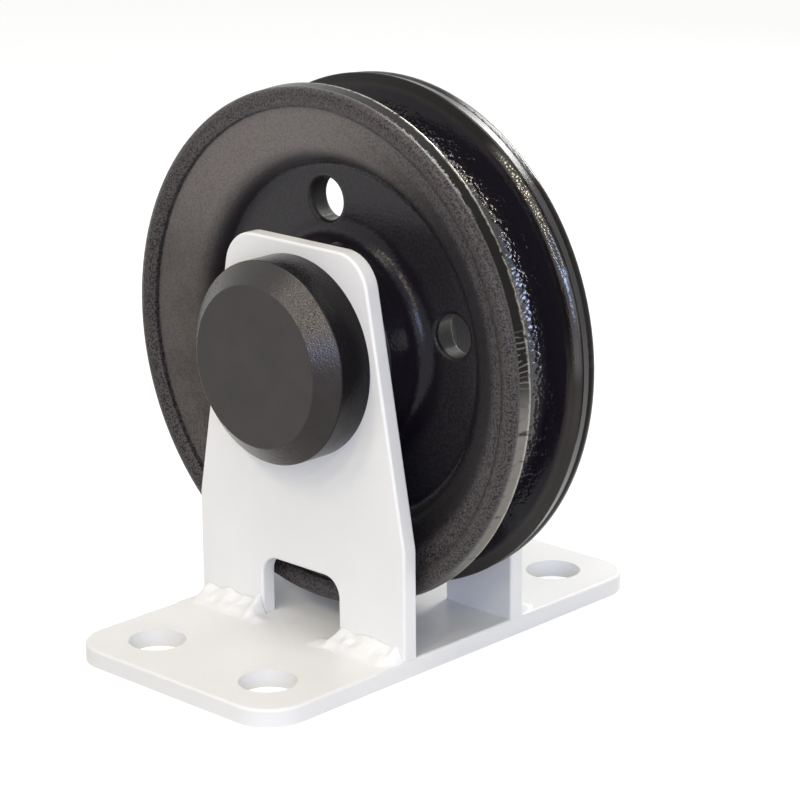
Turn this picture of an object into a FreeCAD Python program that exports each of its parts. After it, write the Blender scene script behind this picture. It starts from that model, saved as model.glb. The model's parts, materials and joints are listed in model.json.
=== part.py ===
import FreeCAD, Part
import math
import os
import re

import Sketcher
from FreeCAD import Placement, Rotation, Vector

# Foot-mounted upright rope sheave. The axle runs along Y with its head towards -Y, Z is up, and
# the origin is the middle of the foot plate's underside.

# Driving dimensions, in millimetres and degrees.
SIZES = {
    # Foot plate
    "plate_length": 150,
    "plate_width": 80,
    "plate_thickness": 5,
    "plate_corner_radius": 12,
    "anchor_hole_diameter": 16,
    "anchor_pitch_long": 116,
    "anchor_pitch_short": 44,
    # Uprights, cut from the same flat bar and rounded along their edges by the paint
    "upright_thickness": 5,
    "upright_shoulder_height": 31,
    "upright_shoulder_radius": 8,
    "upright_top_width": 51,
    "upright_above_axle": 31.6,
    "upright_corner_radius": 11,
    "edge_rounding": 0.8,
    "notch_width": 30,
    "notch_height": 17.5,
    "notch_corner_radius": 5.5,
    # Weld beads at the outer foot of each upright
    "weld_setback": 0.5,
    "weld_height": 4.2,
    "weld_foot_width": 8.6,
    "weld_foot_radius": 5.4,
    "weld_crest_width": 1.4,
    "weld_crest_radius": 1.1,
    "weld_crest_inset": 3.4,
    # Grooved rim of the sheave
    "sheave_diameter": 145,
    "sheave_clearance": 6,
    "rim_width": 33.8,
    "rim_gap": 2.3,
    "rim_ring_width": 5.9,
    "rim_ring_step": 1.1,
    "rim_ring_rounding": 0.5,
    "rim_face_radius": 4.6,
    "rim_nose_radius": 2,
    "rim_nose_drop": 2.4,
    "rim_land_width": 3.6,
    "crest_rounding": 0.5,
    "groove_radius": 6.5,
    "groove_depth": 14.1,
    "groove_flank_angle": 22.5,
    "rim_inner_wall": 5.7,
    "dish_angle": 18,
    "dish_rounding": 7,
    # Web and hub of the sheave
    "web_thickness": 7,
    "dish_rise": 3.2,
    "web_fillet": 3.5,
    "web_hole_inner_margin": 5,
    "web_hole_outer_margin": 4,
    "web_hole_count": 4,
    "web_hole_turn": 12,
    "web_hole_rounding": 1.4,
    "hub_wall": 5,
    "hub_root_fillet": 6,
    "hub_edge_rounding": 1,
    "hub_lip": 1.15,
    # Ball bearings, two side by side in the hub
    "bearing_outer_diameter": 47,
    "bearing_width": 14,
    "bearing_chamfer": 0.8,
    "ball_diameter": 7.94,
    "ball_count": 8,
    "ball_clearance": 0.06,
    "race_conformity": 0.52,
    "race_depth": 1.4,
    "cage_thickness": 2.6,
    "cage_width": 10,
    "pocket_clearance": 0.1,
    "seal_thickness": 1,
    "seal_inset": 1.5,
    "seal_seat": 1.4,
    "seal_lip_gap": 0.3,
    "seat_clearance": 0.03,
    # Retaining rings
    "ring_thickness": 1.75,
    "ring_groove_width": 1.85,
    "ring_groove_depth": 1.25,
    "ring_band": 3.6,
    "ring_opening": 9,
    "ring_lug_radius": 3.4,
    "ring_eye_diameter": 2.5,
    "ring_clearance": 0.1,
    # Axle, its washer and nut, and the distance rings on it
    "axle_diameter": 20,
    "axle_clearance": 0.1,
    "axle_fit": 0.03,
    "head_across_flats": 30,
    "head_height": 12.5,
    "hex_face_share": 0.95,
    "axle_end_chamfer": 1.2,
    "thread_end_past_nut": 0.4,
    "washer_diameter": 37,
    "washer_thickness": 3,
    "washer_clearance": 0.5,
    "nut_height": 10,
    "thread_clearance": 0.05,
    "distance_ring_diameter": 26,
    # Moulded caps over the axle's head and nut
    "cap_diameter": 56.4,
    "cap_depth": 15.7,
    "cap_side_height": 10.5,
    "cap_face_diameter": 44.8,
    "cap_wall": 1.8,
    "cap_side_rounding": 0.8,
    "cap_face_rounding": 0.5,
    "cap_grip_clearance": 0.1,
    "cap_collar_wall": 2,
    "cap_collar_setback": 0.3,
    "cap_rib_count": 8,
    "cap_rib_thickness": 1.4,
}

# Sizes that follow from the driving ones.
WORKED = {
    "plate_half_length": "plate_length / 2",
    "plate_half_width": "plate_width / 2",
    "sheave_radius": "sheave_diameter / 2",
    "axle_height": "plate_thickness + sheave_clearance + sheave_radius",
    "upright_inner": "rim_width / 2 + rim_gap",
    "upright_outer": "upright_inner + upright_thickness",
    "upright_shoulder": "plate_thickness + upright_shoulder_height",
    "upright_top": "axle_height + upright_above_axle",
    "upright_top_half_width": "upright_top_width / 2",
    "notch_half_width": "notch_width / 2",
    "notch_top": "plate_thickness + notch_height",
    "weld_start": "notch_half_width + weld_setback",
    "weld_end": "plate_half_width - weld_setback",
    "rim_half_width": "rim_width / 2",
    "ring_inner_radius": "sheave_radius - rim_ring_width",
    "nose_centre_side": "rim_half_width - rim_nose_radius",
    "nose_centre_radius": "sheave_radius - rim_nose_drop",
    "face_centre_side": "rim_half_width - rim_face_radius",
    "ring_inner_side": "face_centre_side"
    " + sqrt(rim_face_radius ^ 2 - (nose_centre_radius - ring_inner_radius) ^ 2)",
    "land_half_width": "groove_mouth + rim_land_width",
    "land_radius": "nose_centre_radius"
    " + sqrt(rim_nose_radius ^ 2 - (nose_centre_side - land_half_width) ^ 2)",
    "groove_root_centre": "sheave_radius - groove_depth + groove_radius",
    "groove_tangent_side": "groove_radius * cos(groove_flank_angle)",
    "groove_tangent_radius": "groove_root_centre - groove_radius * sin(groove_flank_angle)",
    "groove_mouth": "groove_tangent_side"
    " + (sheave_radius - groove_tangent_radius) * tan(groove_flank_angle)",
    "dish_inner_radius": "sheave_radius - groove_depth - rim_inner_wall",
    "dish_inner_side": "ring_inner_side - rim_ring_step"
    " - (ring_inner_radius - dish_inner_radius) * tan(dish_angle)",
    "web_half": "web_thickness / 2",
    "web_reach": "dish_inner_radius - dish_rise",
    "bearing_radius": "bearing_outer_diameter / 2",
    "hub_bore_radius": "bearing_radius + seat_clearance",
    "hub_radius": "bearing_radius + hub_wall",
    "web_hole_radius": "(web_reach - hub_radius - web_hole_inner_margin - web_hole_outer_margin) / 2",
    "web_hole_centre": "web_reach - web_hole_outer_margin - web_hole_radius",
    "hub_half": "bearing_width + ring_groove_width + hub_lip",
    "ring_groove_radius": "hub_bore_radius + ring_groove_depth",
    "ring_outer_radius": "ring_groove_radius - ring_clearance",
    "axle_radius": "axle_diameter / 2",
    "bearing_bore_radius": "axle_radius + axle_fit",
    "bearing_half": "bearing_width / 2",
    "pitch_radius": "(axle_radius + bearing_radius) / 2",
    "ball_radius": "ball_diameter / 2",
    "race_radius": "ball_diameter * race_conformity",
    "inner_race_floor": "pitch_radius - ball_radius - ball_clearance",
    "outer_race_floor": "pitch_radius + ball_radius + ball_clearance",
    "inner_shoulder": "inner_race_floor + race_depth",
    "outer_shoulder": "outer_race_floor - race_depth",
    "seal_outer_radius": "outer_shoulder + seal_seat",
    "seal_inner_radius": "inner_shoulder + seal_lip_gap",
    "seal_back": "bearing_half - seal_inset",
    "pocket_radius": "ball_radius + pocket_clearance",
    "hex_half_flats": "head_across_flats / 2",
    "axle_length": "2 * upright_outer + washer_thickness + nut_height + thread_end_past_nut",
    "cap_radius": "cap_diameter / 2",
    "cap_face_radius": "cap_face_diameter / 2",
    "cap_roof": "cap_depth - cap_wall",
    "grip_half_flats": "hex_half_flats + cap_grip_clearance",
    "collar_radius": "grip_half_flats / cos(30) + cap_collar_wall",
    "collar_start": "washer_thickness + cap_collar_setback",
}

NEAR = 0.001

doc = FreeCAD.newDocument("rope_sheave")
sheet = doc.addObject("Spreadsheet::Sheet", "Sizes")
for row, (size_name, size) in enumerate(SIZES.items(), 1):
    sheet.set(f"A{row}", size_name)
    sheet.set(f"B{row}", str(size))
    sheet.setAlias(f"B{row}", size_name)
doc.recompute()

sub_parts = []


# Formulas and numbers

def formula(text):
    """The text with each driving size pointed at its cell and each worked size written out."""
    def point(match):
        word = match.group()
        if word in WORKED:
            return "(" + formula(WORKED[word]) + ")"
        if word in SIZES:
            return "Sizes." + word
        return word
    return re.sub(r"[a-z][a-z_]*", point, text)


def number(text):
    """The present value of a formula."""
    return float(sheet.evalExpression(formula(text)))


def bind(item, prop, text):
    """Ties a property to a formula."""
    item.setExpression(prop, formula(text))


# Bodies, sketches and features

def new_body(name, along="0", up="0", turned=False):
    """A body for one sub-part, set out from the origin along the axle and upwards.
    A turned one faces the other way."""
    body = doc.addObject("PartDesign::Body", name)
    body.Label = name
    if turned:
        body.Placement = Placement(Vector(), Rotation(Vector(0, 0, 1), 180))
    bind(body, "Placement.Base.y", along)
    bind(body, "Placement.Base.z", up)
    sub_parts.append(body)
    return body


def origin_part(body, role):
    """One of the body's own origin planes or axes."""
    return next(item for item in body.Origin.OriginFeatures if item.Role == role)


def new_sketch(body, plane, offset="0"):
    """A sketch on one of the body's origin planes, moved along that plane's normal."""
    sketch = body.newObject("Sketcher::SketchObject", "Sketch")
    sketch.AttachmentSupport = (origin_part(body, plane + "_Plane"), [""])
    sketch.MapMode = "FlatFace"
    bind(sketch, "AttachmentOffset.Base.z", offset)
    return sketch


def constrain(sketch, kind, where, text):
    """Adds a dimension to a sketch and ties it to a formula."""
    index = sketch.addConstraint(Sketcher.Constraint(kind, *where, number(text)))
    bind(sketch, f"Constraints[{index}]", text)


def place_point(sketch, edge, end, x, y):
    """Dimensions one point of an edge from the sketch's origin."""
    constrain(sketch, "DistanceX", (-1, 1, edge, end), x)
    constrain(sketch, "DistanceY", (-1, 1, edge, end), y)


def arc_centre(start, end, radius, side):
    """Centre of the short arc between two points, to the left (1) or right (-1) of the way."""
    chord = end - start
    rise = math.sqrt(max(radius ** 2 - (chord.Length / 2) ** 2, 0))
    left = Vector(-chord.y, chord.x, 0).normalize()
    return (start + end) / 2 + left * rise * side


def outline(sketch, corners):
    """A closed outline. Each corner is (x, y), or (x, y, radius, side) where an arc leads to it
    with its centre to the left (1) or right (-1) of the way."""
    spots = [Vector(number(corner[0]), number(corner[1]), 0) for corner in corners]
    edges = []
    for index, corner in enumerate(corners):
        start = spots[index - 1]
        end = spots[index]
        if len(corner) == 2:
            edge = sketch.addGeometry(Part.LineSegment(start, end), False)
            edges.append((edge, 1, 2))
            continue
        radius = number(corner[2])
        side = corner[3]
        centre = arc_centre(start, end, radius, side)
        first, last = (start, end) if side > 0 else (end, start)
        sweep = [math.atan2(spot.y - centre.y, spot.x - centre.x) for spot in (first, last)]
        circle = Part.Circle(centre, Vector(0, 0, 1), radius)
        edge = sketch.addGeometry(Part.ArcOfCircle(circle, *sweep), False)
        edges.append((edge, 1, 2) if side > 0 else (edge, 2, 1))
    for index, (edge, start_end, far_end) in enumerate(edges):
        before = edges[index - 1]
        sketch.addConstraint(Sketcher.Constraint("Coincident", before[0], before[2], edge, start_end))
    for (edge, start_end, far_end), corner in zip(edges, corners):
        place_point(sketch, edge, far_end, corner[0], corner[1])
        if len(corner) > 2:
            constrain(sketch, "Radius", (edge,), corner[2])


def add_circle(sketch, x, y, radius):
    """A circle, dimensioned from the sketch's origin."""
    centre = Vector(number(x), number(y), 0)
    circle = sketch.addGeometry(Part.Circle(centre, Vector(0, 0, 1), number(radius)), False)
    place_point(sketch, circle, 3, x, y)
    constrain(sketch, "Radius", (circle,), radius)


def hexagon(sketch, half_flats):
    """A hexagon about the sketch's origin, with two of its flats upright."""
    corner = f"{half_flats} / cos(30)"
    half_side = f"{half_flats} * tan(30)"
    outline(sketch, [
        (half_flats, f"-{half_side}"),
        (half_flats, half_side),
        ("0", corner),
        (f"-{half_flats}", half_side),
        (f"-{half_flats}", f"-{half_side}"),
        ("0", f"-{corner}"),
    ])


def feature_on(sketch, kind):
    """A feature made from a sketch of the same body."""
    body = sketch.getParentGeoFeatureGroup()
    feature = body.newObject("PartDesign::" + kind, kind)
    feature.Profile = sketch
    sketch.Visibility = False
    return feature


def pad(sketch, length, middle=False):
    """Thickens a sketch along its normal, or to both sides of it."""
    feature = feature_on(sketch, "Pad")
    feature.SideType = "Symmetric" if middle else "One side"
    bind(feature, "Length", length)
    doc.recompute()
    return feature


def cut_through(sketch):
    """Cuts a sketch through the whole body, to both sides of it."""
    feature = feature_on(sketch, "Pocket")
    feature.SideType = "Symmetric"
    feature.Type = "ThroughAll"
    doc.recompute()
    return feature


def cut(sketch, depth):
    """Cuts a sketch into the body along its normal."""
    feature = feature_on(sketch, "Pocket")
    feature.Reversed = True
    bind(feature, "Length", depth)
    doc.recompute()
    return feature


def turn(sketch, kind="Revolution", angle=360):
    """Turns a sketch about its own horizontal axis, to add or to cut."""
    feature = feature_on(sketch, kind)
    feature.ReferenceAxis = (sketch, ["H_Axis"])
    feature.Angle = angle
    doc.recompute()
    return feature


def join_levels(lower, upper):
    """A solid with straight sides from one outline up to another."""
    body = lower.getParentGeoFeatureGroup()
    feature = body.newObject("PartDesign::AdditiveLoft", "Loft")
    feature.Profile = (lower, [""])
    feature.Sections = [(upper, [""])]
    feature.Ruled = True
    doc.recompute()
    return feature


def repeat_round(feature, count):
    """Repeats a feature evenly about the body's Y axis."""
    body = feature.getParentGeoFeatureGroup()
    pattern = body.newObject("PartDesign::PolarPattern", "Around")
    pattern.Originals = [feature]
    pattern.Axis = (origin_part(body, "Y_Axis"), [""])
    pattern.Angle = 360
    bind(pattern, "Occurrences", count)
    body.Tip = pattern
    doc.recompute()
    return pattern


def mirror(feature, plane):
    """Repeats a feature on the other side of one of the body's origin planes."""
    body = feature.getParentGeoFeatureGroup()
    pattern = body.newObject("PartDesign::Mirrored", "Mirrored")
    pattern.Originals = [feature]
    pattern.MirrorPlane = (origin_part(body, plane + "_Plane"), [""])
    body.Tip = pattern
    doc.recompute()
    return pattern


def dress(feature, kind, edges, prop, size):
    """Rounds or chamfers the named edges of a feature."""
    body = feature.getParentGeoFeatureGroup()
    dressed = body.newObject("PartDesign::" + kind, kind)
    dressed.Base = (feature, edges)
    bind(dressed, prop, size)
    doc.recompute()
    return dressed


def round_off(feature, edges, radius):
    return dress(feature, "Fillet", edges, "Radius", radius)


# Edges found by where they lie

def edges_where(feature, wanted):
    """Names of the edges of a feature that a test picks."""
    return [f"Edge{index}" for index, edge in enumerate(feature.Shape.Edges, 1) if wanted(edge)]


def rings(feature, places):
    """Full circles about the Y axis, each given by its place along the axis and its radius."""
    spots = [(number(along), number(radius)) for along, radius in places]

    def wanted(edge):
        if edge.Curve.TypeId != "Part::GeomCircle":
            return False
        centre = edge.Curve.Center
        if abs(centre.x) > NEAR or abs(centre.z) > NEAR:
            return False
        return any(
            abs(centre.y - along) < NEAR and abs(edge.Curve.Radius - radius) < NEAR
            for along, radius in spots
        )
    return edges_where(feature, wanted)


def both_sides(along, radius):
    """A ring's place and its like on the other side of the middle plane."""
    return [(along, radius), (f"-({along})", radius)]


def posts(feature, axis, places):
    """Straight edges along one axis, each given by its other two coordinates in order."""
    spots = [tuple(number(text) for text in place) for place in places]
    others = [index for index in range(3) if index != axis]

    def wanted(edge):
        if len(edge.Vertexes) != 2:
            return False
        ends = [vertex.Point for vertex in edge.Vertexes]
        return any(
            all(abs(end[other] - value) < NEAR for end in ends for other, value in zip(others, spot))
            for spot in spots
        )
    return edges_where(feature, wanted)


def tube(name, along, length, outer, bore):
    """A plain ring about the axle, starting at the given place and running towards +Y."""
    body = new_body(name, along, "axle_height")
    sketch = new_sketch(body, "YZ")
    outline(sketch, [("0", bore), (length, bore), (length, outer), ("0", outer)])
    turn(sketch)
    return body


# Frame

def base_plate():
    body = new_body("base_plate")
    sketch = new_sketch(body, "XY")
    corners = [(sign_x, sign_y) for sign_x in ("", "-") for sign_y in ("", "-")]
    outline(sketch, [
        ("-plate_half_width", "-plate_half_length"),
        ("plate_half_width", "-plate_half_length"),
        ("plate_half_width", "plate_half_length"),
        ("-plate_half_width", "plate_half_length"),
    ])
    slab = pad(sketch, "plate_thickness")
    places = [(f"{x}plate_half_width", f"{y}plate_half_length") for x, y in corners]
    slab = round_off(slab, posts(slab, 2, places), "plate_corner_radius")
    top = number("plate_thickness")
    rim = edges_where(slab, lambda edge: all(abs(v.Point.z - top) < NEAR for v in edge.Vertexes))
    round_off(slab, rim, "edge_rounding")
    holes = new_sketch(body, "XY")
    for x, y in corners:
        add_circle(holes, f"{x}anchor_pitch_short / 2", f"{y}anchor_pitch_long / 2",
                   "anchor_hole_diameter / 2")
    cut_through(holes)


def upright(name, inner_face):
    """A tapered cheek with a notch in its foot, thickened from the given face towards -Y."""
    body = new_body(name, inner_face)
    sketch = new_sketch(body, "XZ")
    outline(sketch, [
        ("plate_half_width", "plate_thickness"),
        ("plate_half_width", "upright_shoulder"),
        ("upright_top_half_width", "upright_top"),
        ("-upright_top_half_width", "upright_top"),
        ("-plate_half_width", "upright_shoulder"),
        ("-plate_half_width", "plate_thickness"),
        ("-notch_half_width", "plate_thickness"),
        ("-notch_half_width", "notch_top"),
        ("notch_half_width", "notch_top"),
        ("notch_half_width", "plate_thickness"),
    ])
    cheek = pad(sketch, "upright_thickness")
    for half_width, height, radius in (
        ("upright_top_half_width", "upright_top", "upright_corner_radius"),
        ("plate_half_width", "upright_shoulder", "upright_shoulder_radius"),
        ("notch_half_width", "notch_top", "notch_corner_radius"),
    ):
        places = [(half_width, height), (f"-{half_width}", height)]
        cheek = round_off(cheek, posts(cheek, 1, places), radius)
    foot = number("plate_thickness")
    back = -number("upright_thickness")

    def painted_edge(edge):
        ends = [vertex.Point for vertex in edge.Vertexes]
        if all(abs(end.z - foot) < NEAR for end in ends):
            return False
        return any(all(abs(end.y - face) < NEAR for end in ends) for face in (0, back))
    round_off(cheek, edges_where(cheek, painted_edge), "edge_rounding")
    hole = new_sketch(body, "XZ")
    add_circle(hole, "0", "axle_height", "axle_radius + axle_clearance")
    cut_through(hole)


def weld_beads(name, corner_line, turned):
    """Two fillet beads along the outer foot of an upright, one each side of the notch. Each
    slopes from a narrow crest on the upright down to a wider foot on the plate."""
    body = new_body(name, corner_line, "plate_thickness", turned)
    levels = []
    for height, inset, width, radius in (
        ("0", "0", "weld_foot_width", "weld_foot_radius"),
        ("weld_height", "weld_crest_inset", "weld_crest_width", "weld_crest_radius"),
    ):
        near = f"weld_start + {inset}"
        far = f"weld_end - {inset}"
        level = new_sketch(body, "XY", height)
        outline(level, [
            (near, "0"),
            (near, f"-({width} - {radius})"),
            (f"{near} + {radius}", f"-{width}", radius, 1),
            (f"{far} - {radius}", f"-{width}"),
            (far, f"-({width} - {radius})", radius, 1),
            (far, "0"),
        ])
        levels.append(level)
    bead = join_levels(*levels)
    mirror(bead, "YZ")


# Sheave

def sheave():
    """The cast wheel: grooved rim, dished flanks, web with four holes, and bored hub."""
    body = new_body("sheave", "0", "axle_height")
    sketch = new_sketch(body, "YZ")
    half = [
        ("hub_half", "hub_bore_radius"),
        ("hub_half", "hub_radius"),
        ("web_half", "hub_radius"),
        ("web_half", "web_reach"),
        ("dish_inner_side", "dish_inner_radius"),
        ("ring_inner_side - rim_ring_step", "ring_inner_radius"),
        ("ring_inner_side", "ring_inner_radius"),
        ("rim_half_width", "nose_centre_radius"),
        ("land_half_width", "land_radius"),
        ("groove_mouth", "sheave_radius"),
        ("groove_tangent_side", "groove_tangent_radius"),
    ]
    other_half = [(f"-({along})", radius) for along, radius in reversed(half)]
    face = ("rim_face_radius", 1)
    nose = ("rim_nose_radius", 1)
    half[-4] += face
    half[-3] += nose
    other_half[0] += ("groove_radius", -1)
    other_half[3] += nose
    other_half[4] += face
    outline(sketch, half + other_half)
    wheel = turn(sketch)

    ring_grooves = new_sketch(body, "YZ")
    for sign in ("", "-"):
        outline(ring_grooves, [
            (f"{sign}bearing_width", "axle_radius"),
            (f"{sign}(bearing_width + ring_groove_width)", "axle_radius"),
            (f"{sign}(bearing_width + ring_groove_width)", "ring_groove_radius"),
            (f"{sign}bearing_width", "ring_groove_radius"),
        ])
    wheel = turn(ring_grooves, "Groove")

    for along, radius, rounding in (
        ("dish_inner_side", "dish_inner_radius", "dish_rounding"),
        ("web_half", "web_reach", "web_fillet"),
        ("web_half", "hub_radius", "hub_root_fillet"),
        ("hub_half", "hub_radius", "hub_edge_rounding"),
        ("ring_inner_side", "ring_inner_radius", "rim_ring_rounding"),
        ("groove_mouth", "sheave_radius", "crest_rounding"),
    ):
        wheel = round_off(wheel, rings(wheel, both_sides(along, radius)), rounding)

    hole = new_sketch(body, "XZ")
    add_circle(hole, "web_hole_centre * cos(web_hole_turn)",
               "web_hole_centre * sin(web_hole_turn)", "web_hole_radius")
    wheel = repeat_round(cut_through(hole), "web_hole_count")
    faces = [number("web_half"), -number("web_half")]
    size = number("web_hole_radius")

    def hole_mouth(edge):
        if edge.Curve.TypeId != "Part::GeomCircle" or abs(edge.Curve.Radius - size) > NEAR:
            return False
        return any(abs(edge.Curve.Center.y - face) < NEAR for face in faces)
    round_off(wheel, edges_where(wheel, hole_mouth), "web_hole_rounding")


def retaining_ring(name, turned):
    """A sprung ring in the hub's groove, open at the top between two eyed lugs."""
    along = "bearing_width" if turned else "-bearing_width"
    body = new_body(name, along, "axle_height", turned)
    band = new_sketch(body, "XZ")
    add_circle(band, "0", "0", "ring_outer_radius")
    add_circle(band, "0", "0", "ring_outer_radius - ring_band")
    pad(band, "ring_thickness")
    lug_side = "ring_opening / 2 + ring_lug_radius"
    lug_height = f"sqrt((ring_outer_radius - ring_lug_radius) ^ 2 - ({lug_side}) ^ 2)"
    for sign in ("", "-"):
        lug = new_sketch(body, "XZ")
        add_circle(lug, f"{sign}({lug_side})", lug_height, "ring_lug_radius")
        pad(lug, "ring_thickness")
    eyes = new_sketch(body, "XZ")
    for sign in ("", "-"):
        add_circle(eyes, f"{sign}({lug_side})", lug_height, "ring_eye_diameter / 2")
    cut(eyes, "ring_thickness")
    gap = new_sketch(body, "XZ")
    outline(gap, [
        ("-ring_opening / 2", "0"),
        ("ring_opening / 2", "0"),
        ("ring_opening / 2", "ring_groove_radius"),
        ("-ring_opening / 2", "ring_groove_radius"),
    ])
    cut(gap, "ring_thickness")


# Bearings

def bearing_rings(side, along):
    """Inner and outer ring, each with a ball track, and seats for the seals in the outer."""
    inner = new_body(side + "_bearing_inner_ring", along, "axle_height")
    sketch = new_sketch(inner, "YZ")
    outline(sketch, [
        ("-bearing_half", "bearing_bore_radius"),
        ("bearing_half", "bearing_bore_radius"),
        ("bearing_half", "inner_shoulder"),
        ("-bearing_half", "inner_shoulder"),
    ])
    ring = turn(sketch)
    track = new_sketch(inner, "YZ")
    add_circle(track, "0", "inner_race_floor + race_radius", "race_radius")
    ring = turn(track, "Groove")
    ends = both_sides("bearing_half", "bearing_bore_radius")
    dress(ring, "Chamfer", rings(ring, ends), "Size", "bearing_chamfer")

    outer = new_body(side + "_bearing_outer_ring", along, "axle_height")
    sketch = new_sketch(outer, "YZ")
    outline(sketch, [
        ("-bearing_half", "seal_outer_radius"),
        ("-seal_back", "seal_outer_radius"),
        ("-seal_back", "outer_shoulder"),
        ("seal_back", "outer_shoulder"),
        ("seal_back", "seal_outer_radius"),
        ("bearing_half", "seal_outer_radius"),
        ("bearing_half", "bearing_radius"),
        ("-bearing_half", "bearing_radius"),
    ])
    ring = turn(sketch)
    track = new_sketch(outer, "YZ")
    add_circle(track, "0", "outer_race_floor - race_radius", "race_radius")
    ring = turn(track, "Groove")
    ends = both_sides("bearing_half", "bearing_radius")
    dress(ring, "Chamfer", rings(ring, ends), "Size", "bearing_chamfer")


def bearing_balls(side, along):
    body = new_body(side + "_bearing_balls", along, "axle_height")
    ball = body.newObject("PartDesign::AdditiveSphere", "Ball")
    ball.AttachmentSupport = (origin_part(body, "XY_Plane"), [""])
    ball.MapMode = "FlatFace"
    bind(ball, "AttachmentOffset.Base.z", "pitch_radius")
    bind(ball, "Radius", "ball_radius")
    doc.recompute()
    repeat_round(ball, "ball_count")


def bearing_cage(side, along):
    """A ring between the ball tracks with a round pocket for each ball."""
    body = new_body(side + "_bearing_cage", along, "axle_height")
    band = new_sketch(body, "YZ")
    outline(band, [
        ("-cage_width / 2", "pitch_radius - cage_thickness / 2"),
        ("cage_width / 2", "pitch_radius - cage_thickness / 2"),
        ("cage_width / 2", "pitch_radius + cage_thickness / 2"),
        ("-cage_width / 2", "pitch_radius + cage_thickness / 2"),
    ])
    turn(band)
    pocket = new_sketch(body, "XY")
    add_circle(pocket, "0", "0", "pocket_radius")
    repeat_round(cut(pocket, "pitch_radius + cage_thickness"), "ball_count")


def bearing_seals(side, along):
    """A flat seal at each end, seated in the outer ring and just clear of the inner."""
    body = new_body(side + "_bearing_seals", along, "axle_height")
    sketch = new_sketch(body, "YZ")
    outline(sketch, [
        ("seal_back", "seal_inner_radius"),
        ("seal_back + seal_thickness", "seal_inner_radius"),
        ("seal_back + seal_thickness", "seal_outer_radius - seat_clearance"),
        ("seal_back", "seal_outer_radius - seat_clearance"),
    ])
    mirror(turn(sketch), "XZ")


# Axle and what is threaded on it

def trim_hexagon(body, end):
    """Chamfers the six corners of a hexagon at one end of it, to 30 degrees."""
    sketch = new_sketch(body, "YZ")
    flat = "hex_half_flats * hex_face_share"
    past = "hex_half_flats / cos(30) + 1"
    outline(sketch, [
        (end, flat),
        (end, past),
        (f"{end} + ({past} - {flat}) * tan(30)", past),
    ])
    return turn(sketch, "Groove")


def axle():
    """The axle bolt: a smooth shank under a hexagon head, with a chamfered end."""
    body = new_body("axle_bolt", "-upright_outer", "axle_height")
    head = new_sketch(body, "XZ")
    hexagon(head, "hex_half_flats")
    pad(head, "head_height")
    trim_hexagon(body, "-head_height")
    shank = new_sketch(body, "YZ")
    outline(shank, [
        ("0", "0"),
        ("axle_length", "0"),
        ("axle_length", "axle_radius - axle_end_chamfer"),
        ("axle_length - axle_end_chamfer", "axle_radius"),
        ("0", "axle_radius"),
    ])
    turn(shank)


def lock_nut():
    body = new_body("lock_nut", "upright_outer + washer_thickness", "axle_height", True)
    sketch = new_sketch(body, "XZ")
    hexagon(sketch, "hex_half_flats")
    add_circle(sketch, "0", "0", "axle_radius + thread_clearance")
    pad(sketch, "nut_height")
    trim_hexagon(body, "-nut_height")


# Caps

def cap(name, along, turned):
    """A moulded cap: chamfered shell, hexagon collar that grips the head or nut, and ribs."""
    body = new_body(name, along, "axle_height", turned)
    sketch = new_sketch(body, "YZ")
    outline(sketch, [
        ("0", "0"),
        ("0", "cap_radius"),
        ("-cap_side_height", "cap_radius"),
        ("-cap_depth", "cap_face_radius"),
        ("-cap_depth", "0"),
    ])
    shell = turn(sketch)
    mouth = [
        f"Face{index}" for index, face in enumerate(shell.Shape.Faces, 1)
        if abs(face.BoundBox.YMin) < NEAR and abs(face.BoundBox.YMax) < NEAR
    ]
    hollow = dress(shell, "Thickness", mouth, "Value", "cap_wall")
    hollow.Join = "Intersection"
    hollow.Reversed = True
    doc.recompute()

    collar = new_sketch(body, "XZ", "collar_start")
    hexagon(collar, "grip_half_flats")
    add_circle(collar, "0", "0", "collar_radius")
    pad(collar, "cap_roof - collar_start")

    rib = new_sketch(body, "YZ")
    inner = "collar_radius - cap_collar_wall / 2"
    outline(rib, [
        ("-collar_start", inner),
        ("-(cap_depth - cap_wall / 2)", inner),
        ("-(cap_depth - cap_wall / 2)", "cap_face_radius - cap_wall / 2"),
        ("-cap_side_height", "cap_radius - cap_wall / 2"),
        ("-collar_start", "cap_radius - cap_wall / 2"),
    ])
    moulded = repeat_round(pad(rib, "cap_rib_thickness", middle=True), "cap_rib_count")
    side_edge = rings(moulded, [("-cap_side_height", "cap_radius")])
    moulded = round_off(moulded, side_edge, "cap_side_rounding")
    face_edge = rings(moulded, [("-cap_depth", "cap_face_radius")])
    round_off(moulded, face_edge, "cap_face_rounding")


def build():
    base_plate()
    upright("front_upright", "-upright_inner")
    upright("rear_upright", "upright_outer")
    weld_beads("front_weld_beads", "-upright_outer", False)
    weld_beads("rear_weld_beads", "upright_outer", True)
    sheave()
    for side, along in (("front", "-bearing_half"), ("rear", "bearing_half")):
        bearing_rings(side, along)
        bearing_balls(side, along)
        bearing_cage(side, along)
        bearing_seals(side, along)
    retaining_ring("front_retaining_ring", False)
    retaining_ring("rear_retaining_ring", True)
    axle()
    gap = "upright_inner - bearing_width"
    for name, along in (
        ("front_distance_ring", "-upright_inner"),
        ("rear_distance_ring", "bearing_width"),
    ):
        tube(name, along, gap, "distance_ring_diameter / 2", "bearing_bore_radius")
    tube("axle_washer", "upright_outer", "washer_thickness",
         "washer_diameter / 2", "axle_radius + washer_clearance")
    lock_nut()
    cap("front_cap", "-upright_outer", False)
    cap("rear_cap", "upright_outer", True)


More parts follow.
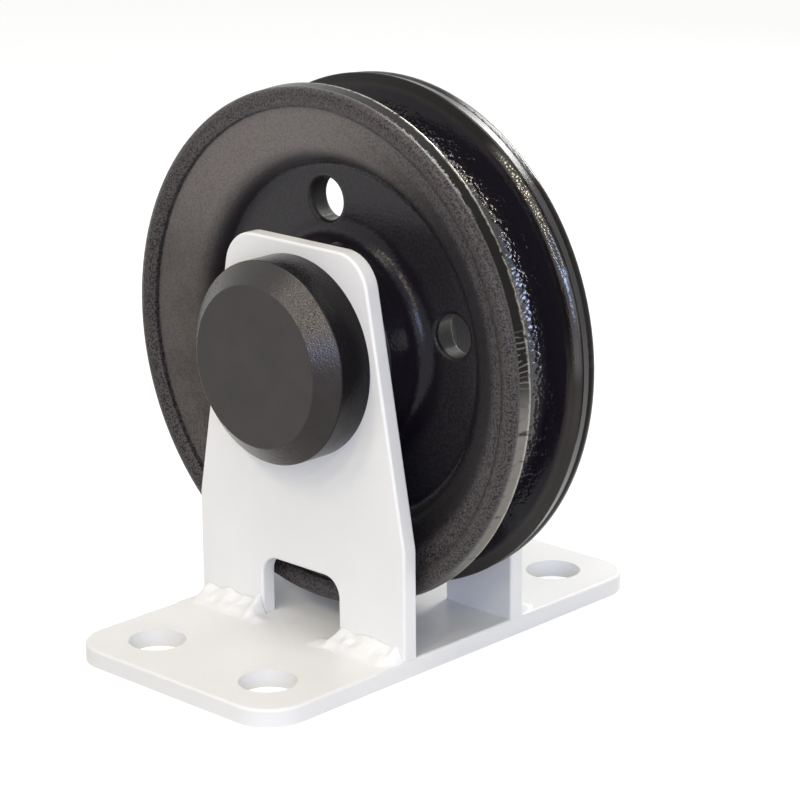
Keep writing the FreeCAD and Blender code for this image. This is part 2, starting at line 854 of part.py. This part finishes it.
build()
doc.recompute()
for item in doc.Objects:
    if "Invalid" in item.State or "Error" in item.State:
        raise RuntimeError(f"{item.Name} of {item.getParentGeoFeatureGroup()} failed: {item.State}")
os.makedirs("parts", exist_ok=True)
for piece in sub_parts:
    if piece.Shape.isNull() or not piece.Shape.isValid():
        raise RuntimeError(f"{piece.Label} has no valid shape")
    piece.Shape.exportStep(f"parts/{piece.Label}.step")
    print(f"{piece.Label}: {len(piece.Shape.Solids)} solid, {piece.Shape.Volume / 1000:.3f} cm3")
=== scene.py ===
import json
import math
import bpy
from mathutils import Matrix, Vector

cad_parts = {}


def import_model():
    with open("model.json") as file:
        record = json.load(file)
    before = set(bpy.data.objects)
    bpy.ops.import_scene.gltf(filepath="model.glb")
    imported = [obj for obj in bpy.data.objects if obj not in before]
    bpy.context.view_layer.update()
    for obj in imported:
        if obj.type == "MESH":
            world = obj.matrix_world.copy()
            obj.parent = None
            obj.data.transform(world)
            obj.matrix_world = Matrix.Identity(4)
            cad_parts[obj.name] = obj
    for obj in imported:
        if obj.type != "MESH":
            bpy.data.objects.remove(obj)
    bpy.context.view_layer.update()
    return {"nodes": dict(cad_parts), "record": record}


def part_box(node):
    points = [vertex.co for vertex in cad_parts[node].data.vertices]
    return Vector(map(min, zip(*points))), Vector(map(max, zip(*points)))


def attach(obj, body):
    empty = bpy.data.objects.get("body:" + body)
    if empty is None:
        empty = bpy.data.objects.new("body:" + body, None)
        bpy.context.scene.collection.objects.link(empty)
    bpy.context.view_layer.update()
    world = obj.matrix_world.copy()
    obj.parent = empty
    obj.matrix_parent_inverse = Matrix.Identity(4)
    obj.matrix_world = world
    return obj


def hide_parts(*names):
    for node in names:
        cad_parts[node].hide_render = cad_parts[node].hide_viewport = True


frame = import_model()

from types import SimpleNamespace

import bmesh
import bpy
from mathutils import Matrix, Vector, noise

AXLE = Vector((0, 0, 0.0835))
PLATE_TOP = 0.005
MM_PER_M = 1000

BLACK = (0.0, 0.0, 0.0)
WHITE = (1.0, 1.0, 1.0)

scene = bpy.context.scene


# Shader graphs

class Graph:
    """A node material whose inputs take numbers, colours or the outputs of other nodes."""

    def __init__(self, name):
        self.material = bpy.data.materials.new(name)
        self.material.use_nodes = True
        self.tree = self.material.node_tree
        self.tree.nodes.clear()
        self.out = self.tree.nodes.new("ShaderNodeOutputMaterial")
        self.coordinates = self.node("ShaderNodeTexCoord").outputs["Object"]

    def node(self, kind, inputs=None, **settings):
        item = self.tree.nodes.new(kind)
        for name, value in settings.items():
            setattr(item, name, value)
        for name, value in (inputs or {}).items():
            self.give(item.inputs[name], value)
        return item

    def give(self, socket, value):
        if isinstance(value, bpy.types.NodeSocket):
            self.tree.links.new(value, socket)
        elif isinstance(value, (tuple, list)) and len(value) == 3 and socket.type == "RGBA":
            socket.default_value = (*value, 1)
        else:
            socket.default_value = value

    def math(self, operation, a, b=0.0):
        return self.node("ShaderNodeMath", {0: a, 1: b}, operation=operation).outputs[0]

    def fold(self, operation, values):
        result = values[0]
        for value in values[1:]:
            result = self.math(operation, result, value)
        return result

    def times(self, *factors):
        """The product of numbers. Of masks, it is where all of them meet."""
        return self.fold("MULTIPLY", factors)

    def most(self, *values):
        """The largest of some numbers. Of masks, it is where any of them is."""
        return self.fold("MAXIMUM", values)

    def less(self, *values):
        """The first number without those that follow it."""
        return self.fold("SUBTRACT", values)

    def scale(self, vector, factors):
        item = self.node("ShaderNodeVectorMath", {0: vector, 1: factors}, operation="MULTIPLY")
        return item.outputs[0]

    def noise(self, size, detail=3.0, roughness=0.55, vector=None):
        """Soft noise, 0 to 1, whose lumps measure about the given size in metres."""
        return self.node("ShaderNodeTexNoise", {
            "Vector": vector or self.coordinates, "Scale": 1 / size, "Detail": detail,
            "Roughness": roughness,
        }).outputs["Fac"]

    def pebbles(self, size):
        """Rounded grains of about the given size in metres: 0 on top of each, more around it."""
        distance = self.node("ShaderNodeTexVoronoi", {
            "Vector": self.coordinates, "Scale": 1 / size,
        }).outputs["Distance"]
        return self.times(distance, distance)

    def step(self, value, low, high, start=0.0, end=1.0):
        """Runs smoothly from start to end as the value goes from low to high."""
        return self.node("ShaderNodeMapRange", {
            "Value": value, "From Min": low, "From Max": high, "To Min": start, "To Max": end,
        }, interpolation_type="SMOOTHSTEP").outputs["Result"]

    def window(self, value, low, full, fade, high):
        """A mask that is 1 from full to fade, and 0 below low and above high."""
        return self.times(self.step(value, low, full), self.step(value, high, fade))

    def towards(self, turn, middle):
        """1 at a turn round the axle, and -1 opposite to it."""
        return self.math("COSINE", self.less(turn, middle))

    def mix(self, factor, a, b):
        """Mixes two colours."""
        return self.mixed("RGBA", factor, a, b)

    def blend(self, factor, a, b):
        """Mixes two numbers."""
        return self.mixed("FLOAT", factor, a, b)

    def mixed(self, kind, factor, a, b):
        item = self.node("ShaderNodeMix", data_type=kind)
        for name, value in (("Factor", factor), ("A", a), ("B", b)):
            self.give(item.inputs[name], value)
        return item.outputs["Result"]

    def roll(self, value, start, run, slope):
        """A depth that is 0 up to the start and then grows, ever faster over the run, until it
        grows by the slope."""
        beyond = self.less(value, start)
        near = self.math("MINIMUM", self.most(beyond, 0.0), run)
        far = self.less(self.times(beyond, 2.0), near)
        return self.times(far, near, slope / (2 * run))

    def relief(self, height):
        """Bump from a height in metres."""
        inputs = {"Height": height, "Distance": 1.0, "Strength": 1.0}
        return self.node("ShaderNodeBump", inputs).outputs["Normal"]

    def surface(self, colour, roughness, normal, metallic=0.0, **fixed):
        """The material. A further input is named with _ for each space of its own name."""
        inputs = {"Base Color": colour, "Roughness": roughness, "Normal": normal,
                  "Metallic": metallic}
        inputs.update({name.replace("_", " "): value for name, value in fixed.items()})
        shader = self.node("ShaderNodeBsdfPrincipled", inputs)
        self.tree.links.new(shader.outputs["BSDF"], self.out.inputs["Surface"])
        return self.material


def about_axle(g):
    """A point's place along the axle, its distance from the middle plane, its distance from the
    axle's line, all in metres, and its turn round the axle in radians, from +X towards +Z."""
    parts = g.node("ShaderNodeSeparateXYZ", {"Vector": g.coordinates}).outputs
    across, along = parts["X"], parts["Y"]
    up = g.less(parts["Z"], AXLE.z)
    radius = g.math("SQRT", g.math("ADD", g.times(across, across), g.times(up, up)))
    turn = g.math("ARCTAN2", up, across)
    return along, g.math("ABSOLUTE", along), radius, turn


# Materials

def white_paint():
    """Satin powder coat on sheet steel."""
    g = Graph("white_powder_coat")
    cloud = g.noise(0.03, 3.0, 0.5)
    colour = g.mix(g.step(cloud, 0.35, 0.7), (0.835, 0.835, 0.824), (0.865, 0.865, 0.857))
    rough = g.step(g.noise(0.004, 3.0), 0.3, 0.7, 0.34, 0.44)
    peel = g.times(g.noise(0.0013, 2.0, 0.5), 0.00004)
    return g.surface(colour, rough, g.relief(peel))


def sheave_places(g):
    """Masks for the places on the cast sheave."""
    along, side, radius, turn = about_axle(g)
    at = SimpleNamespace(side=side, radius=radius, turn=turn)

    # Halves and bands of the profile
    at.front = g.step(along, -0.0050, -0.0095)
    at.rear = g.step(along, 0.0050, 0.0095)
    at.inside = g.step(side, 0.0107, 0.0098)
    at.groove = g.times(g.window(radius, 0.0545, 0.0560, 0.0682, 0.0697), at.inside)
    at.bed = g.times(at.groove, g.step(radius, 0.0645, 0.0615))
    at.lip = g.times(g.step(radius, 0.0682, 0.0697), at.inside)
    at.land = g.times(g.step(radius, 0.0700, 0.0702),
                      g.window(side, 0.0098, 0.0103, 0.0137, 0.0141))
    at.rear_nose = g.times(at.rear, g.step(radius, 0.0685, 0.0700), g.step(side, 0.0130, 0.0136))
    at.smooth = g.most(at.lip, at.land, at.rear_nose)
    at.crown = g.times(g.step(radius, 0.0661, 0.0667), g.step(side, 0.0135, 0.0141),
                       g.less(1.0, at.rear_nose))
    at.dish = g.times(g.window(radius, 0.0490, 0.0560, 0.0661, 0.0668),
                      g.step(g.less(side, g.times(radius, 0.45)), -0.0198, -0.0188))
    at.web = g.times(g.window(radius, 0.0320, 0.0370, 0.0465, 0.0500),
                     g.step(side, 0.0031, 0.0034))
    at.hole = g.times(g.window(radius, 0.0325, 0.0330, 0.0460, 0.0465),
                      g.step(side, 0.0034, 0.0030))
    at.hub = g.times(g.step(radius, 0.0355, 0.0345), g.step(side, 0.0170, 0.0150))
    at.rolled = g.times(at.rear, at.inside, g.step(radius, 0.0698, 0.0703))

    # Lengths of the rim. The lighter side and top, the lower half that is painted as reflecting,
    # and the turns of the rear rim's highlights are painted light.
    # Painted light and shade: 1 towards the upper left and 0 towards the lower right, where the
    # dish is painted darker.
    at.dusty = g.step(g.towards(turn, 2.5), -0.35, 0.75)
    # Painted light: 1 at the top of the rim, where the dish and the ring's inner part are painted
    # lighter.
    at.pale = g.step(g.towards(turn, 1.83), 0.3, 1.0)
    # Painted reflection: the lower half of the rim, where the groove's bed and the lip are painted
    # lighter as if reflecting the floor and the side light.
    at.worn = g.window(turn, -2.9, -2.3, -0.15, 0.25)
    # Painted highlight: the turns where the rear lip mirrors fully and is smoother, for its blue
    # streak.
    at.streaked = g.window(turn, -0.05, 0.08, 0.85, 1.00)
    at.pebbly = g.window(turn, 0.30, 0.50, 0.80, 1.05)
    # Painted highlight: the turns where the rear land mirrors fully and is rougher, for its broad
    # white highlight.
    at.flared = g.times(at.rear, g.window(turn, 0.72, 0.84, 1.15, 1.32))
    at.gilt = g.times(at.rear, g.window(turn, 0.40, 0.60, 0.76, 0.86))
    return at


def sheave_wear(g, at, streak):
    """Masks for bright iron, along the front crest, and for dull iron, on the front land. The
    bright iron also draws a painted highlight: a dotted line along the front rim's outer edge, on
    its upper right.
    """
    ragged = g.math("ADD", at.side, g.times(streak, 0.0016))
    # The crest has lost its paint all round; towards the top left the iron shows more strongly, as
    # a painted highlight.
    crest = g.times(
        g.step(at.side, 0.0095, 0.0099), g.step(at.radius, 0.0714, 0.0717), at.front,
        g.step(ragged, 0.0120, 0.0114), g.step(streak, 0.34, 0.48),
        g.step(g.towards(at.turn, 2.0), 0.07, 0.62, 0.45, 1.0))
    # Painted highlight: a dotted line of bright iron along the front rim's outer edge, only on its
    # upper right.
    rim_line = g.times(
        g.window(at.side, 0.0132, 0.0136, 0.0138, 0.0142), at.front,
        g.step(at.radius, 0.0712, 0.0715), g.window(at.turn, 0.60, 0.90, 1.15, 1.35),
        g.step(g.noise(0.0010, 2.0), 0.49, 0.57))
    wobble = g.math("ADD", g.times(at.turn, 300.0), g.times(g.noise(0.006, 2.0), 9.0))
    ticks = g.times(
        at.land, at.front, g.step(g.math("SINE", wobble), 0.45, 0.85),
        g.window(at.turn, 0.0, 0.05, 0.20, 0.27), g.step(streak, 0.36, 0.50))
    scuffed = g.times(
        at.land, at.front, g.window(at.turn, -1.3, -0.9, -0.12, 0.10),
        g.step(streak, 0.26, 0.48))
    return g.most(crest, g.times(rim_line, 0.5)), g.most(g.times(scuffed, 0.46),
                                                         g.times(ticks, 0.30))


def sheave_colour(g, at, clump, bright, dull):
    gloss_black = (0.0100, 0.0080, 0.0120)
    web_film = (0.036, 0.033, 0.035)
    rubbed_bed = (0.056, 0.050, 0.049)
    land_black = (0.0090, 0.0075, 0.0070)
    lip_black, lip_worn = (0.008, 0.006, 0.006), (0.040, 0.034, 0.032)
    hole_edge = (0.015, 0.014, 0.012)
    dust_dark, dust_mid = (0.074, 0.064, 0.058), (0.100, 0.089, 0.081)
    dust_pale = (0.190, 0.170, 0.160)
    shade_low, shade_high = (0.018, 0.016, 0.018), (0.082, 0.074, 0.076)
    dust_pit, ring_pit = (0.008, 0.006, 0.007), (0.005, 0.003, 0.005)
    ring_dark, ring_pale = (0.066, 0.057, 0.056), (0.082, 0.072, 0.071)
    dull_iron, bright_iron = (0.42, 0.40, 0.36), (0.66, 0.64, 0.58)

    pits = g.step(g.noise(0.0006, 2.0, 0.6), 0.46, 0.58)
    dust = g.mix(g.step(g.noise(0.012, 4.0, 0.6), 0.35, 0.65), dust_dark, dust_mid)
    # Painted light: the dish is lighter towards the top of the rim.
    dust = g.mix(g.times(at.pale, 0.8), dust, dust_pale)
    # Painted shade: towards the lower right the dish turns darker, most at its inner edge, and its
    # pits show more.
    shaded = g.mix(g.step(at.radius, 0.0590, 0.0625), shade_low, shade_high)
    dust = g.mix(at.dusty, shaded, dust)
    dust = g.mix(g.times(pits, g.blend(at.dusty, 0.88, 0.24)), dust, dust_pit)
    # Painted light: the ring's inner part is lighter towards the top of the rim.
    ring = g.mix(g.times(at.pale, g.step(at.radius, 0.0688, 0.0681)), ring_dark, ring_pale)
    ring = g.mix(g.times(pits, 0.85), ring, ring_pit)
    mottle = g.step(g.noise(0.0009, 3.0, 0.65), 0.40, 0.62, 0.28, 0.58)
    # Painted reflection: lighter grey patches in the groove's bed on the lower half.
    rubbed = g.times(at.groove, at.worn, g.step(at.radius, 0.0640, 0.0605),
                     g.step(clump, 0.30, 0.60, 0.5, 1.0))

    colour = g.mix(g.times(at.web, mottle), gloss_black, web_film)
    for place, over in (
            (rubbed, rubbed_bed),
            (at.dish, dust),
            (at.crown, ring),
            (at.smooth, land_black),
            # Painted reflection: the lip is lighter brown-grey on the lower half.
            (at.lip, g.mix(at.worn, lip_black, lip_worn)),
            (at.hole, hole_edge),
            (dull, dull_iron),
            (bright, bright_iron)):
        colour = g.mix(place, colour, over)
    return colour


def sheave_roughness(g, at, bare):
    gloss = g.step(g.noise(0.00045, 2.0, 0.6), 0.3, 0.7, 0.09, 0.15)
    satin = g.blend(at.flared, g.blend(at.rear, 0.27, 0.16), 0.34)
    lip = g.blend(at.streaked, g.blend(at.flared, 0.42, 0.34), 0.15)
    rough = g.blend(at.groove, 0.27, gloss)
    for place, over in (
            (at.dish, 0.50),
            (at.crown, 0.42),
            (at.smooth, g.blend(at.lip, satin, lip)),
            (at.hole, 0.55),
            (at.hub, 0.22),
            (bare, 0.33)):
        rough = g.blend(place, rough, over)
    return rough


def sheave_relief(g, at, clump):
    """The casting's height in metres: waves, less the ground between two sizes of pebble, less
    the rounding of the crests that the light shows."""
    sparse = g.step(clump, 0.46, 0.60, 0.000020, 0.00019)
    flank = g.blend(g.step(at.radius, 0.0650, 0.0675), sparse, 0.00001)
    large = g.blend(at.groove, 0.000040, flank)
    for place, over in (
            (at.hub, 0.00004),
            (at.bed, g.step(at.radius, 0.0605, 0.0620, 0.00011, 0.00023)),
            (at.crown, 0.000045),
            (at.dish, 0.000020),
            (at.smooth, g.blend(at.gilt, 0.000004, 0.000035)),
            (at.rolled, g.blend(at.pebbly, 0.00002, 0.000075))):
        large = g.blend(place, large, over)
    small = g.blend(at.crown, g.blend(at.groove, 0.000015, 0.000008), 0.00005)
    small = g.blend(at.smooth, small, 0.000002)
    waves = g.blend(at.smooth, g.blend(at.groove, 0.00006, 0.00012), 0.00003)
    flat = g.times(at.flared, g.step(at.radius, 0.0700, 0.0706))
    bend = g.times(at.rear, g.step(at.side, 0.0112, 0.0103),
                   g.window(at.turn, -0.3, -0.1, 0.45, 0.62))
    return g.less(
        g.times(g.noise(0.0040, 2.0, 0.5), waves),
        g.times(g.pebbles(0.00100), large),
        g.times(g.pebbles(0.00050), small),
        g.times(at.inside, at.pebbly, g.roll(at.radius, 0.0697, 0.0012, 0.35)),
        g.times(flat, g.roll(at.side, 0.0138, 0.0003, 0.28)),
        g.times(bend, g.roll(at.radius, 0.0705, 0.0009, 0.33)))


def sheave_sheen(g, at):
    """How strongly the paint mirrors: fully in the groove's bed, and least where it is dulled. As
    painted highlights, the rear land and rear lip mirror fully only over the turns where their
    highlights fall.
    """
    wet = g.blend(g.most(at.land, at.rear_nose), g.blend(at.groove, 0.30, 0.18),
                  g.blend(at.flared, 0.10, 1.0))
    for place, over in (
            (at.bed, 1.0),
            (at.rolled, g.blend(at.streaked, 0.2, 1.0)),
            (at.hub, 0.25)):
        wet = g.blend(place, wet, over)
    return g.mix(wet, BLACK, WHITE)


def black_paint():
    """Black paint over a rough sand casting: greyed by a fine powder in the dished flanks, glossy
    and pebbled in the groove, and turned smooth on the lands, where the front one has lost its
    paint down to the iron. Painted light and shade: the dish and ring lighter at the top and upper
    left and darker to the lower right, the bed and lip lighter on the lower half as painted
    reflection, and painted highlights on the front rim's edges and the rear land and lip."""
    g = Graph("black_painted_casting")
    at = sheave_places(g)
    clump = g.noise(0.0050, 3.0, 0.6)
    streak = g.noise(0.0022, 4.0, 0.6, g.scale(g.coordinates, (1.0, 0.35, 1.0)))
    bright, dull = sheave_wear(g, at, streak)
    bare = g.most(bright, dull)
    return g.surface(
        sheave_colour(g, at, clump, bright, dull), sheave_roughness(g, at, bare),
        g.relief(sheave_relief(g, at, clump)), g.times(bare, 0.9),
        Specular_Tint=sheave_sheen(g, at), Specular_IOR_Level=0.8)


def cap_plastic():
    """Moulded plastic, dull on the face, coarser grained and glossier on the chamfer and side.
    Painted light: its side is darker as shade, its chamfer and side mirror less on the lower half,
    and its side mirrors mostly near its front edge.
    """
    g = Graph("charcoal_moulded_plastic")
    _, side, radius, turn = about_axle(g)
    skirt = g.step(radius, 0.0279, 0.02815)
    face = g.times(g.step(side, 0.0388, 0.0396), g.step(radius, 0.0228, 0.0220))
    grain = g.noise(0.0005, 3.0, 0.6)
    cloud = g.noise(0.010, 3.0, 0.5)
    colour = g.mix(g.step(cloud, 0.3, 0.7), (0.028, 0.024, 0.024), (0.034, 0.029, 0.029))
    # Painted shade: the cap's side is darker than its face and chamfer.
    colour = g.mix(skirt, colour, (0.010, 0.009, 0.010))
    rough = g.blend(face, g.step(grain, 0.3, 0.7, 0.17, 0.27), 0.58)
    height = g.math("ADD", g.times(g.pebbles(0.00055), g.blend(face, -0.00006, -0.00003)),
                    g.times(grain, 0.00003))
    # Painted reflection: the chamfer and side mirror less below the middle of the cap, and the side
    # mirrors mostly near its front edge.
    lit = g.step(g.towards(turn, 1.571), 0.05, 0.40, 0.45, 1.0)
    sheen = g.times(g.blend(skirt, 1.0, g.step(side, 0.0295, 0.0345, 0.10, 1.0)),
                    g.blend(face, lit, 1.0))
    return g.surface(colour, rough, g.relief(height),
                     Specular_Tint=g.mix(sheen, BLACK, WHITE), Specular_IOR_Level=0.40)


def plated_steel(name, colour, rough_low, rough_high, grain):
    """Plated or ground steel with faint clouds in its polish."""
    g = Graph(name)
    cloud = g.noise(0.006, 4.0, 0.6)
    tone = g.mix(g.step(cloud, 0.3, 0.7), colour, tuple(value * 0.86 for value in colour))
    rough = g.step(cloud, 0.3, 0.7, rough_low, rough_high)
    return g.surface(tone, rough, g.relief(g.times(g.noise(grain, 3.0, 0.6), 0.000012)), 1.0)


def moulded(name, colour, roughness):
    """Plain moulded rubber or plastic."""
    g = Graph(name)
    cloud = g.noise(0.004, 3.0, 0.5)
    tone = g.mix(g.step(cloud, 0.3, 0.7), colour, tuple(value * 0.8 for value in colour))
    return g.surface(tone, roughness, g.relief(g.times(g.noise(0.0005, 3.0, 0.6), 0.00003)))


def dress_nodes():
    """Gives each CAD node the material of its slot, and returns the materials."""
    looks = {
        "white_paint": white_paint(),
        "black_paint": black_paint(),
        "cap_plastic": cap_plastic(),
        "zinc_steel": plated_steel("zinc_plated_steel", (0.62, 0.63, 0.65), 0.28, 0.42, 0.0008),
        "bearing_steel": plated_steel("ground_bearing_steel", (0.66, 0.66, 0.67), 0.14, 0.24,
                                      0.0004),
        "spring_steel": plated_steel("phosphated_spring_steel", (0.10, 0.10, 0.11), 0.36, 0.5,
                                     0.0006),
        "seal_rubber": moulded("black_seal_rubber", (0.03, 0.03, 0.03), 0.6),
        "cage_plastic": moulded("cage_polyamide", (0.72, 0.66, 0.52), 0.5),
    }
    for row in frame["record"]["subparts"]:
        materials = frame["nodes"][row["node"]].data.materials
        materials.clear()
        materials.append(looks[row["material_slot"]])
    return looks


# Studio

CAMERA_PLACE = Vector((0.533694, -0.541611, 0.293779))
CAMERA_TARGET = Vector((-0.002587, 0.019368, 0.060696))
CAMERA_ROLL = math.radians(-0.477)
SENSOR_WIDTH = 36.0
FOCAL_PIXELS = 2847.689
PHOTO_WIDTH = 800

# Name, azimuth, elevation, distance, width, height, level and colour
LAMPS = (
    ("key_softbox", -7, 46, 0.9, 0.10, 0.17, 0.11, (1.0, 0.90, 0.72)),
    ("middle_spot", 18, 38, 0.9, 0.08, 0.08, 0.11, (1.0, 0.88, 0.66)),
    ("low_spot", 32, 27, 0.9, 0.06, 0.06, 0.08, (1.0, 0.87, 0.64)),
    ("window", 46, 14, 1.2, 0.22, 0.40, 0.28, (0.50, 0.62, 1.0)),
    ("top_softbox", 0, 75, 0.9, 0.34, 0.50, 0.27, (1.0, 0.94, 0.82)),
    ("side_softbox", 84, 14, 1.2, 0.80, 0.60, 0.19, (1.0, 0.98, 0.95)),
    ("back_softbox", 190, 33, 0.8, 0.18, 0.60, 0.58, (1.0, 0.99, 0.97)),
)
FILL_COLOUR, FILL_LEVEL = (1.0, 0.99, 0.97), 0.50

FLOOR_HALF = 8.0
FLOOR_CLOTH = (0.64, 0.635, 0.625)
FLOOR_DIMMED, FLOOR_GLOW = (0.36, 0.36, 0.36), 0.76


def put(name, data):
    item = bpy.data.objects.new(name, data)
    scene.collection.objects.link(item)
    return item


def aim(item, position, target, roll=0.0):
    """Puts an item at a place, looking at another, turned about its line of sight."""
    back = (position - target).normalized()
    across = Vector((0, 0, 1)).cross(back).normalized()
    up = back.cross(across)
    right = across * math.cos(roll) + up * math.sin(roll)
    top = up * math.cos(roll) - across * math.sin(roll)
    facing = Matrix((right, top, back)).transposed().to_4x4()
    item.matrix_world = Matrix.Translation(position) @ facing


def camera():
    data = bpy.data.cameras.new("camera")
    data.sensor_width = SENSOR_WIDTH
    data.lens = SENSOR_WIDTH * FOCAL_PIXELS / PHOTO_WIDTH
    data.clip_start = 0.01
    scene.camera = put("camera", data)
    aim(scene.camera, CAMERA_PLACE, CAMERA_TARGET, CAMERA_ROLL)


def lamp(name, azimuth, elevation, distance, width, height, level, colour):
    """A softbox. Azimuth 0 is in front of the axle's head and 90 is at +X. The level is the light
    it gives a white surface that faces it."""
    data = bpy.data.lights.new(name, "AREA")
    data.shape = "RECTANGLE"
    data.size = width
    data.size_y = height
    data.energy = level * math.pi ** 2 * distance ** 2
    data.color = colour
    turn, rise = math.radians(azimuth), math.radians(elevation)
    way = Vector((math.sin(turn) * math.cos(rise), -math.cos(turn) * math.cos(rise),
                  math.sin(rise)))
    aim(put(name, data), AXLE + way * distance, AXLE)


def seen_directly(tree):
    """1 for what the camera sees, directly or in a mirror or glass, else 0."""
    path = tree.nodes.new("ShaderNodeLightPath")
    total = path.outputs["Is Camera Ray"]
    for name in ("Is Glossy Ray", "Is Transmission Ray"):
        add = tree.nodes.new("ShaderNodeMath")
        add.operation = "MAXIMUM"
        tree.links.new(total, add.inputs[0])
        tree.links.new(path.outputs[name], add.inputs[1])
        total = add.outputs[0]
    return total


def show_apart(tree, lighting, seen, out):
    """Joins one shader that lights the object and another that is seen."""
    mix = tree.nodes.new("ShaderNodeMixShader")
    tree.links.new(seen_directly(tree), mix.inputs[0])
    tree.links.new(lighting.outputs[0], mix.inputs[1])
    tree.links.new(seen.outputs[0], mix.inputs[2])
    tree.links.new(mix.outputs[0], out.inputs["Surface"])


def world():
    item = bpy.data.worlds.new("studio")
    scene.world = item
    item.use_nodes = True
    tree = item.node_tree
    tree.nodes.clear()
    out = tree.nodes.new("ShaderNodeOutputWorld")
    shades = []
    for colour, strength in ((FILL_COLOUR, FILL_LEVEL), (WHITE, 1.0)):
        shade = tree.nodes.new("ShaderNodeBackground")
        shade.inputs["Color"].default_value = (*colour, 1)
        shade.inputs["Strength"].default_value = strength
        shades.append(shade)
    show_apart(tree, *shades, out)


def floor():
    """A cloth that lights the object softly from below, and is seen as white with its shadow."""
    mesh = bpy.data.meshes.new("floor")
    corners = [(x * FLOOR_HALF, y * FLOOR_HALF, 0) for x, y in ((-1, -1), (1, -1), (1, 1), (-1, 1))]
    mesh.from_pydata(corners, [], [(0, 1, 2, 3)])
    item = put("floor", mesh)
    g = Graph("pale_floor")
    cloth = g.node("ShaderNodeBsdfDiffuse", {"Color": FLOOR_CLOTH})
    dimmed = g.node("ShaderNodeBsdfDiffuse", {"Color": FLOOR_DIMMED})
    glow = g.node("ShaderNodeEmission", {"Color": WHITE, "Strength": FLOOR_GLOW})
    add = g.node("ShaderNodeAddShader", {0: dimmed.outputs[0], 1: glow.outputs[0]})
    show_apart(g.tree, cloth, add, g.out)
    mesh.materials.append(g.material)


def studio():
    scene.view_settings.view_transform = "Standard"
    camera()
    world()
    floor()
    for row in LAMPS:
        lamp(*row)


# Weld beads, in millimetres along the upright's foot from its middle and out from its face

BEAD_START, BEAD_END, BEAD_REACH = 9.5, 39.9, 10.6
BEAD_ROWS, BEAD_COLUMNS = 92, 34
BEAD_SUNK = 0.25
BEAD_UNDERSIDE = PLATE_TOP - 0.0005
PITTED_BELOW = 1


def smooth(value, low, high):
    t = min(max((value - low) / (high - low), 0.0), 1.0)
    return t * t * (3 - 2 * t)


def swell(value, middle, reach):
    return math.exp(-((value - middle) / reach) ** 2)


def bead_height(along, out, seed, lump):
    """Height of a bead over the plate. The lump is how far its start stands out, and a bead with
    a low one has a pit too."""
    wander = noise.noise(Vector((along * 0.16, seed, 0.0)))
    tall = 3.9 + 0.8 * wander + lump * swell(along, 16.4, 1.5)
    tall *= smooth(along, 13.4, 16.2) * smooth(along, BEAD_END, 37.0)
    wide = 8.6 + 1.6 * noise.noise(Vector((along * 0.14, seed + 9.0, 0.0)))
    wide *= 0.6 + 0.4 * smooth(along, BEAD_END, 36.0)
    t = min(out / wide, 1.0)
    body = tall * (1 - t) ** 1.5 * (1 + 0.5 * t)
    apron = swell(along, 12.9, 2.6) * swell(out, 4.8, 3.0)
    lumps = 0.75 * noise.noise(Vector((along * 0.26, out * 0.30, seed + 3.0)))
    lumps += 0.16 * noise.noise(Vector((along * 0.7, out * 0.7, seed + 5.0)))
    pit = 0.9 * swell(along, 22.6, 1.3) * swell(out, 3.3, 1.2) if lump < PITTED_BELOW else 0.0
    return body + apron + lumps * smooth(body + apron, 0.1, 1.6) - pit - 0.12


def add_bead(mesh, face, outward, way, seed, lump):
    """One bead: a grid of its top, with four sides and an underside that are sunk in the plate."""
    last_row, last_column = BEAD_ROWS, BEAD_COLUMNS
    grid = []
    for i in range(last_row + 1):
        along = BEAD_START + i * (BEAD_END - BEAD_START) / BEAD_ROWS
        row = []
        for j in range(last_column + 1):
            out = j * BEAD_REACH / BEAD_COLUMNS
            up = max(bead_height(along, out, seed, lump), -BEAD_SUNK)
            row.append(mesh.verts.new((way * along / MM_PER_M, face + outward * out / MM_PER_M,
                                       PLATE_TOP + up / MM_PER_M)))
        grid.append(row)
    under = []
    for i in (0, last_row):
        for j in (0, last_column):
            spot = grid[i][j].co.copy()
            spot.z = BEAD_UNDERSIDE
            under.append(mesh.verts.new(spot))
    for i in range(last_row):
        for j in range(last_column):
            mesh.faces.new((grid[i][j], grid[i + 1][j], grid[i + 1][j + 1], grid[i][j + 1]))
    edges = (
        ([row[0] for row in grid], under[0], under[2]),
        (grid[last_row], under[2], under[3]),
        ([row[last_column] for row in reversed(grid)], under[3], under[1]),
        (grid[0][::-1], under[1], under[0]),
    )
    for line, first, last in edges:
        mesh.faces.new(list(reversed(line)) + [first, last])
    mesh.faces.new((under[0], under[1], under[3], under[2]))


def weld_beads(name, node, outward, beads, paint):
    """The beads at one upright's foot, one each side of its notch, laid over the corner between
    the plate and the upright's face."""
    low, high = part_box(node)
    face = high[1] if outward < 0 else low[1]
    mesh = bmesh.new()
    for way, seed, lump in beads:
        add_bead(mesh, face, outward, way, seed, lump)
    bmesh.ops.recalc_face_normals(mesh, faces=mesh.faces)
    data = bpy.data.meshes.new(name)
    mesh.to_mesh(data)
    mesh.free()
    data.materials.append(paint)
    for polygon in data.polygons:
        polygon.use_smooth = len(polygon.vertices) == 4
    item = put(name, data)
    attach(item, "frame")
    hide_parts(node)


looks = dress_nodes()
weld_beads("front_weld_run", "front_weld_beads", -1, ((1, 2.0, 0.4), (-1, 5.0, 2.4)),
           looks["white_paint"])
weld_beads("rear_weld_run", "rear_weld_beads", 1, ((1, 11.0, 0.6), (-1, 14.0, 0.3)),
           looks["white_paint"])
studio()
